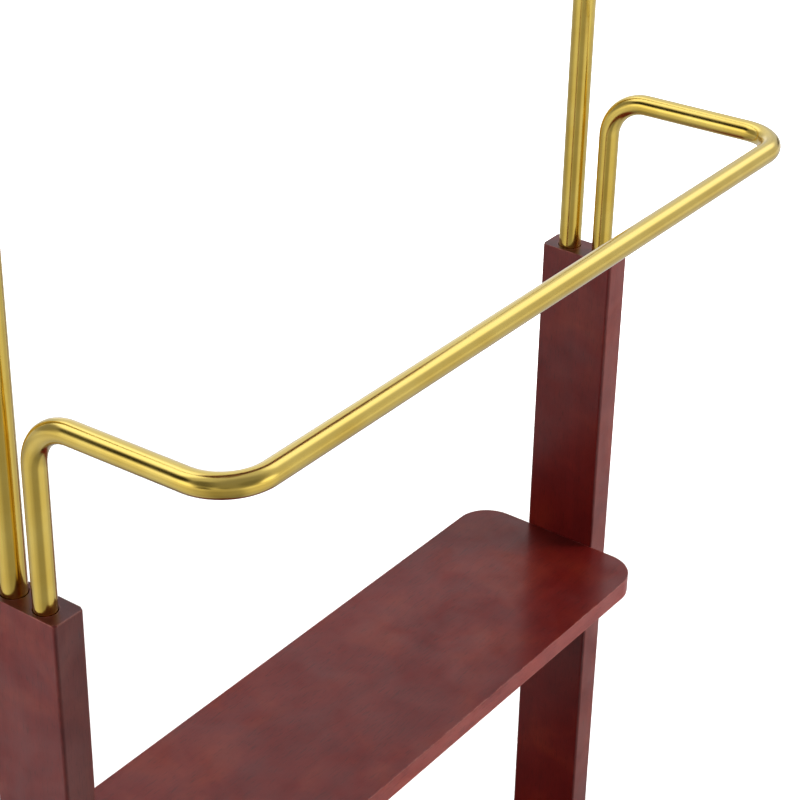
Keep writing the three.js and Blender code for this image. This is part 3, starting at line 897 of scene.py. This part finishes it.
def make_plug(node, sign, seed):
    low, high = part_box(node)
    centre = (low + high) / 2
    radius = (high.y - low.y) / 2
    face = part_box("right_post")[1].x
    shank = [(0, -PLUG_SUNK), (PLUG_SHANK, -PLUG_SUNK), (PLUG_SHANK, PLUG_GAP)]
    profile = shank + [(radius - CAP_UNDERCUT, PLUG_GAP)] + dome(radius, PLUG_RISE, 10)
    piece = turned(node + "_finished", profile, (sign * face, centre.y, centre.z), (sign, 0, 0))
    return place(smooth(piece, 50), STAND, "mahogany", mahogany("Y", "X", seed), node)


# ------------------------------------------------------------------ brass

TUBE_OPEN = 20 * MM  # how far in the open ends are hollow
TUBE_EASE = 0.25 * MM  # rounding of the cut ends
RUN_STEP = 12 * MM
BEND_STEPS = 28


def bent_path(corners, radius):
    """Points along straight runs joined by round bends, close together in the bends."""
    path = [corners[0]]
    for before, corner, after in zip(corners, corners[1:], corners[2:]):
        arriving = (corner - before).normalized()
        leaving = (after - corner).normalized()
        turn = arriving.angle(leaving)
        start = corner - arriving * radius * math.tan(turn / 2)
        axis = arriving.cross(leaving).normalized()
        centre = start + axis.cross(arriving) * radius
        for k in range(BEND_STEPS + 1):
            path.append(centre + Matrix.Rotation(turn * k / BEND_STEPS, 3, axis) @ (start - centre))
    path.append(corners[-1])
    return fill_runs(path)


def fill_runs(path):
    """The path with points added along its long straight runs."""
    filled = [path[0]]
    for before, after in zip(path, path[1:]):
        pieces = max(1, round((after - before).length / RUN_STEP))
        filled += [before.lerp(after, k / pieces) for k in range(1, pieces + 1)]
    return filled


def make_tube(name, path, radius, segments=56):
    """A round tube along a path, hollow near both ends, with an attribute that unbends it."""
    runs = [(b - a).normalized() for a, b in zip(path, path[1:])]
    tangents = [runs[0]] + [(a + b).normalized() for a, b in zip(runs, runs[1:])] + [runs[-1]]
    normal = tangents[0].orthogonal().normalized()
    bm = bmesh.new()
    straight = bm.verts.layers.float_vector.new("straight")
    run = 0.0
    rings = []

    def add_ring(centre, tangent, normal, ring_radius, run):
        other = tangent.cross(normal)
        ring = []
        for k in range(segments):
            angle = 2 * math.pi * k / segments
            across, up = ring_radius * math.cos(angle), ring_radius * math.sin(angle)
            vert = bm.verts.new(centre + across * normal + up * other)
            vert[straight] = (across, up, run)
            ring.append(vert)
        rings.append(ring)

    inner = radius - TUBE_WALL
    eased = radius - TUBE_EASE
    add_ring(path[0] + tangents[0] * TUBE_OPEN, tangents[0], normal, inner, TUBE_OPEN)
    add_ring(path[0], tangents[0], normal, inner, 0)
    add_ring(path[0], tangents[0], normal, eased, 0)
    for index, (centre, tangent) in enumerate(zip(path, tangents)):
        if index:
            run += (centre - path[index - 1]).length
            normal = (normal - tangent * normal.dot(tangent)).normalized()
        shift = {0: TUBE_EASE, len(path) - 1: -TUBE_EASE}.get(index, 0)
        add_ring(centre + tangent * shift, tangent, normal, radius, run)
    add_ring(path[-1], tangents[-1], normal, eased, run)
    add_ring(path[-1], tangents[-1], normal, inner, run)
    add_ring(path[-1] - tangents[-1] * TUBE_OPEN, tangents[-1], normal, inner, run - TUBE_OPEN)
    for first, second in zip(rings, rings[1:]):
        for k in range(segments):
            j = (k + 1) % segments
            bm.faces.new((first[k], first[j], second[j], second[k]))
    bm.faces.new(rings[0][::-1])
    bm.faces.new(rings[-1])
    bmesh.ops.recalc_face_normals(bm, faces=bm.faces)
    mesh = bpy.data.meshes.new(name)
    bm.to_mesh(mesh)
    bm.free()
    mesh.shade_smooth()
    mesh.set_sharp_from_angle(angle=math.radians(50))
    return link_mesh(name, mesh)


def make_trouser_bar():
    low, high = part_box("trouser_bar")
    x = high.x - BAR_RADIUS
    back = high.y - BAR_RADIUS
    front = low.y + BAR_RADIUS
    top = high.z - BAR_RADIUS
    leg_top = top - BAR_RISE
    corners = [
        Vector((-x, back, low.z)),
        Vector((-x, back, leg_top)),
        Vector((-x, front, top)),
        Vector((x, front, top)),
        Vector((x, back, leg_top)),
        Vector((x, back, low.z)),
    ]
    path = bent_path(corners, BEND_RADIUS)
    piece = make_tube("trouser_bar_finished", path, BAR_RADIUS)
    return place(piece, BAR_BODY, "brass_tube", BRASS_TUBE, "trouser_bar")


def make_riser(side):
    name = f"{side}_riser"
    low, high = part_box(name)
    centre = (low + high) / 2
    ends = [Vector((centre.x, centre.y, low.z)), Vector((centre.x, centre.y, high.z))]
    piece = make_tube(name + "_finished", fill_runs(ends), tube_radius(name))
    return place(piece, STAND, "brass_tube", BRASS_TUBE, name)


BUTTON_HEIGHT = 2.4 * MM
SCREW_POINT = 1 * MM  # taper at the end of the shank
HEX_RADIUS = 1.5 * MM
HEX_DEPTH = 1.3 * MM
CLAMP_SHANK = 2.2 * MM
HANGER_SHANK = 2.0 * MM


def make_button_screw(node, axis, shank):
    """A button-headed brass screw with a hexagon socket, its head outermost along the axis."""
    low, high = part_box(node)
    centre = (low + high) / 2
    direction = Vector(axis)
    far = high if sum(direction) > 0 else low
    head = (high.z - low.z) / 2
    top = Vector(tuple(far[i] if axis[i] else centre[i] for i in range(3)))
    seat = top - direction * BUTTON_HEIGHT
    reach = abs((high - low).dot(direction)) - BUTTON_HEIGHT
    stem = [(0, -reach), (shank, -reach + SCREW_POINT), (shank, 0), (head - CAP_UNDERCUT, 0)]
    piece = turned(node + "_finished", stem + dome(head, BUTTON_HEIGHT, 12), seat, axis)
    cut(piece, drill(top, axis, HEX_RADIUS, HEX_DEPTH, 6))
    return place(smooth(piece, 40), STAND, "brass_screw", BRASS_SCREW, node)


# ------------------------------------------------------------------ pads, liner and hidden screws

PAD_ROUND = 1 * MM
PAD_GROOVE = 0.4 * MM


def make_pad(node):
    """A rubber pad, rounded underneath and with a fine groove round its middle."""
    low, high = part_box(node)
    centre = (low + high) / 2
    radius = (high.x - low.x) / 2
    height = high.z - low.z
    foot = arc((radius - PAD_ROUND, PAD_ROUND), PAD_ROUND, -90, 0, 6)
    groove = [(radius, height * 0.45), (radius - PAD_GROOVE, height * 0.5), (radius, height * 0.55)]
    profile = [(0, 0)] + foot + groove + [(radius, height), (0, height)]
    piece = turned(node + "_finished", profile, (centre.x, centre.y, low.z), (0, 0, 1))
    return place(smooth(piece, 40), STAND, "pad_rubber", RUBBER, node)


LINER_CORNER = 2 * MM
LINER_EDGE = 0.5 * MM


def make_liner():
    low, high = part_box("tray_liner")
    outline = rounded_rectangle(low.x, high.x, low.y, high.y, LINER_CORNER, 5)
    piece = slab("tray_liner_finished", outline, low.z, high.z, "Z", LINER_EDGE, 3)
    place(smooth(piece), STAND, "felt", FELT, "tray_liner")


def finish_hidden_screws():
    """The screws that no view reaches keep their CAD shape."""
    for name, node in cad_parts.items():
        if name.endswith("_screw") and not node.hide_render:
            node.data.materials.clear()
            node.data.materials.append(STEEL)


# ------------------------------------------------------------------ the stand

def build():
    for index, (side, sign) in enumerate(SIDES):
        make_post(side, sign, 1 + index)
        make_foot(side, 3 + index)
        make_cheek(side, 5 + index)
        make_riser(side)
        make_button_screw(f"{side}_riser_lower_screw", (0, 1, 0), CLAMP_SHANK)
        make_button_screw(f"{side}_riser_upper_screw", (0, 1, 0), CLAMP_SHANK)
        make_button_screw(f"hanger_{side}_screw", (0, 1, 0), HANGER_SHANK)
        for end in ENDS:
            make_pad(f"{side}_{end}_pad")
            for group in ("accessory_shelf", "shoe_shelf", "tray"):
                make_plug(f"{group}_{side}_{end}_plug", sign, 7 + index)
    make_shelf("accessory_shelf", 9)
    make_shelf("shoe_shelf", 10)
    make_rail("front", 11)
    make_rail("back", 12)
    make_tray_floor(13)
    make_hanger(14)
    make_liner()
    make_trouser_bar()
    finish_hidden_screws()


add_camera()
add_studio()
build()
